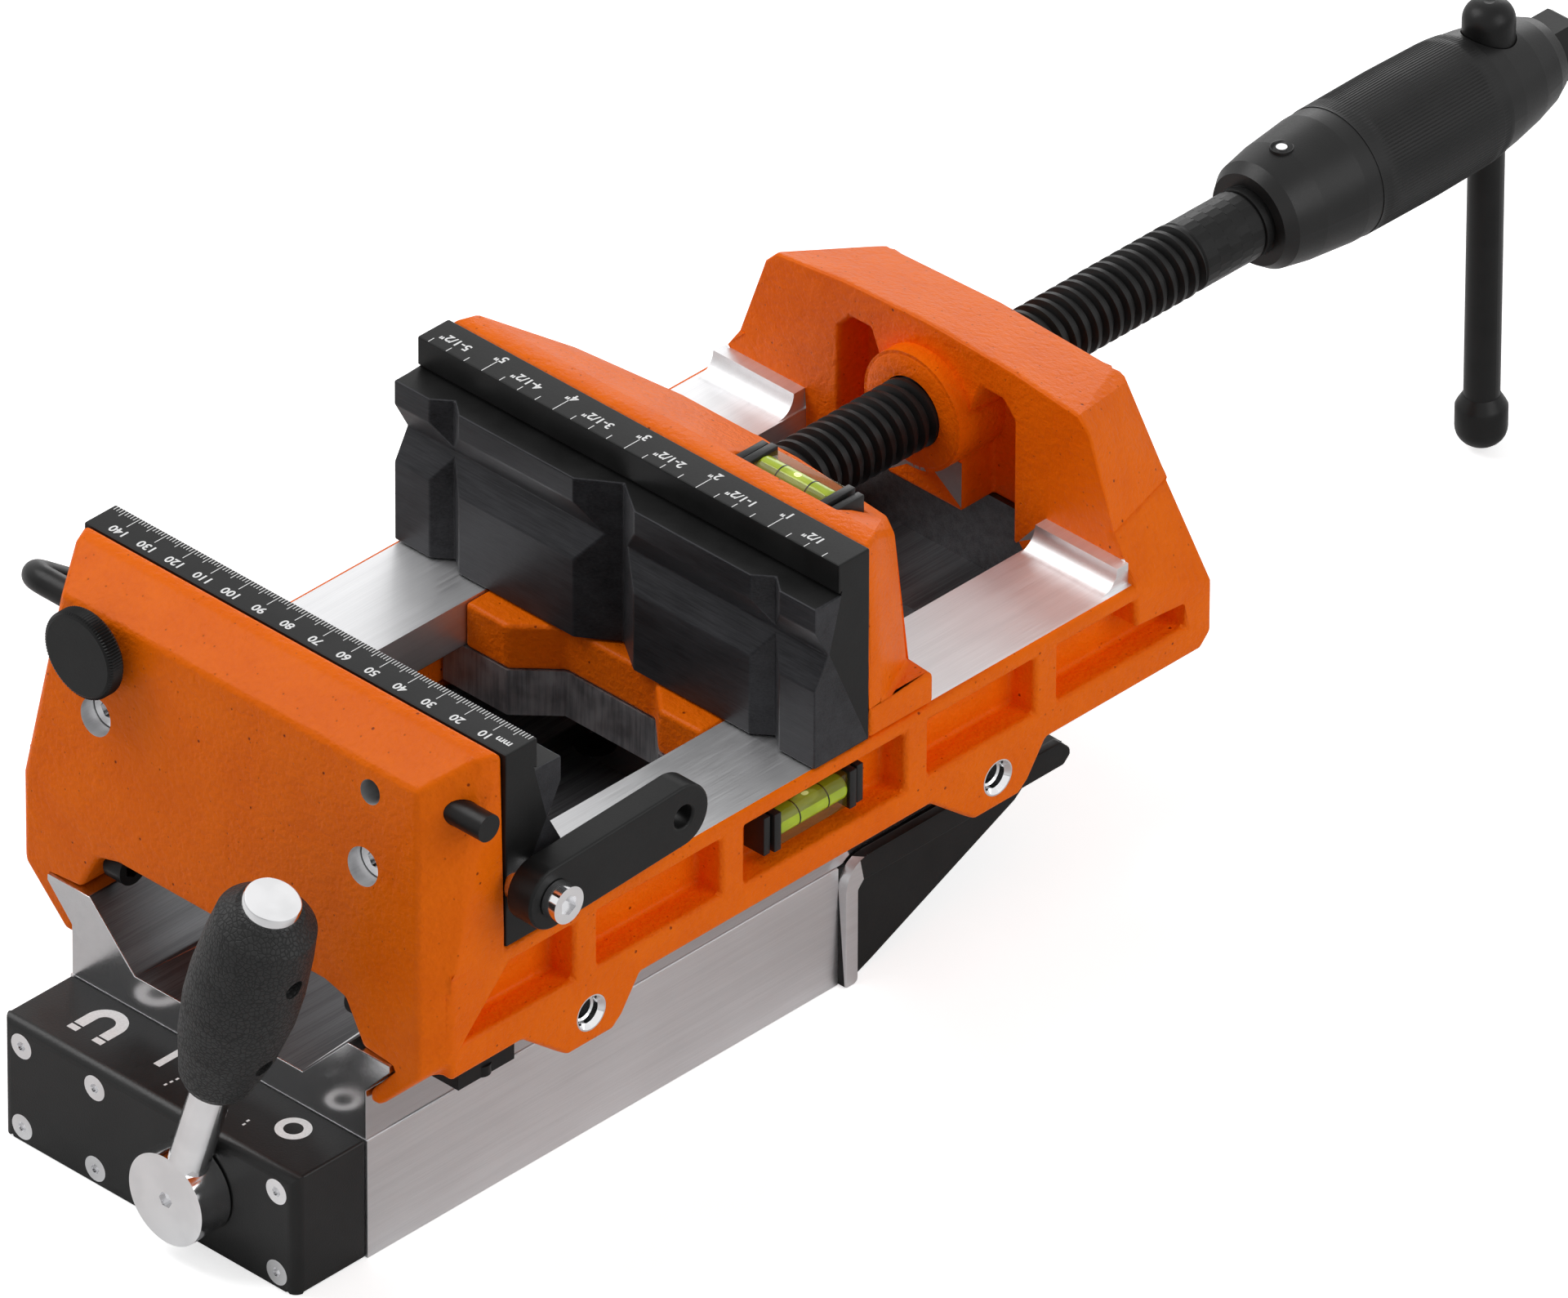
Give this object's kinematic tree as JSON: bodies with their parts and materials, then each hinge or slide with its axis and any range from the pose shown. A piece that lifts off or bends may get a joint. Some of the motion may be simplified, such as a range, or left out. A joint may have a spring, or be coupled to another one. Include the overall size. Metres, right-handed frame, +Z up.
{
  "type": "magnetic machine vise",
  "caption": "Machine vise on a switchable magnet base, with a screw-driven sliding jaw, prism jaw plates, a stop rod, a stop arm and spirit levels.",
  "frame": {"origin": "centre of the magnet housing's underside, on the surface that it holds to", "axes": "+X across the jaws to the side with the stop arm, +Y from the switch lever to the spindle handle, +Z up"},
  "size_m": [0.1802, 0.541, 0.15],
  "materials": {
    "ground_steel": "ground, satin",
    "polished_steel": "milled and polished",
    "chrome": "bright plated",
    "black_steel": "black oxide, satin",
    "orange_paint": "enamel over cast iron",
    "rough_steel": "rough milled",
    "magnet": "plain",
    "bronze": "turned",
    "black_plastic": "leather grain or fine ribs",
    "amber_plastic": "moulded, clear",
    "green_vial": "clear tube with liquid"
  },
  "bodies": {
    "base": {"magnet_housing": "ground_steel", "fixed_magnet": "magnet", "end_cap": "black_plastic", "cap_screws": "chrome", "guide_plate": "polished_steel", "guide_screws": "black_steel", "tail_bracket": "black_steel", "tail_screws": "black_steel", "bed": "orange_paint", "clamp_shoes": "black_steel", "lock_screws": "black_steel", "side_bushes": "chrome", "fixed_jaw_plate": "black_steel", "fixed_plate_screws": "chrome", "spindle_nut": "bronze", "nut_screw": "black_steel", "side_level_frame": "amber_plastic", "side_level_vial": "green_vial", "arm_screw": "chrome"},
    "jaw": {"moving_jaw": "orange_paint", "moving_jaw_plate": "black_steel", "moving_plate_screws": "chrome", "keel_block": "rough_steel", "keel_screws": "black_steel", "spindle_retainer": "ground_steel", "retainer_screws": "black_steel", "top_level_frame": "amber_plastic", "top_level_vial": "green_vial"},
    "spindle": {"spindle": "black_steel", "handle_sleeve": "black_plastic", "sleeve_pin": "chrome"},
    "bar": {"tommy_bar": "black_steel", "bar_knobs": "black_steel"},
    "lever": {"turning_magnet": "magnet", "lever_hub": "chrome", "hub_screw": "chrome", "lever_rod": "chrome", "grip_left": "black_plastic", "grip_right": "black_plastic", "grip_screws": "chrome"},
    "arm": {"stop_arm": "black_steel"},
    "rod": {"stop_rod": "black_steel"},
    "knob": {"clamp_knob": "black_steel"}
  },
  "joints": [
    {"name": "jaw_slide", "type": "slide", "parent": "base", "child": "jaw", "axis": [0, 1, 0], "range_m": [-0.09096, 0.05401]},
    {"name": "spindle_turn", "type": "hinge", "parent": "jaw", "child": "spindle", "pos_m": [0, 0.2, 0.1127], "axis": [0, 1, 0], "range_deg": [-8185.5, 4860]},
    {"name": "bar_slide", "type": "slide", "parent": "spindle", "child": "bar", "axis": [0, 0, 1], "range_m": [0, 0.084]},
    {"name": "lever_turn", "type": "hinge", "parent": "base", "child": "lever", "pos_m": [0.0168, -0.117, 0.0179], "axis": [0, 1, 0], "range_deg": [-67, 29]},
    {"name": "arm_swing", "type": "hinge", "parent": "base", "child": "arm", "pos_m": [0.0824, -0.05265, 0.11], "axis": [1, 0, 0], "range_deg": [-90, 85]},
    {"name": "rod_slide", "type": "slide", "parent": "base", "child": "rod", "axis": [-1, 0, 0], "range_m": [-0.005, 0.115]},
    {"name": "knob_turn", "type": "hinge", "parent": "base", "child": "knob", "pos_m": [-0.0475, -0.086, 0.136], "axis": [0, -1, 0], "continuous": true}
  ],
  "couplings": [
    {"joint": "jaw_slide", "follows": "spindle_turn", "m_per_rad": 0.00063662}
  ]
}
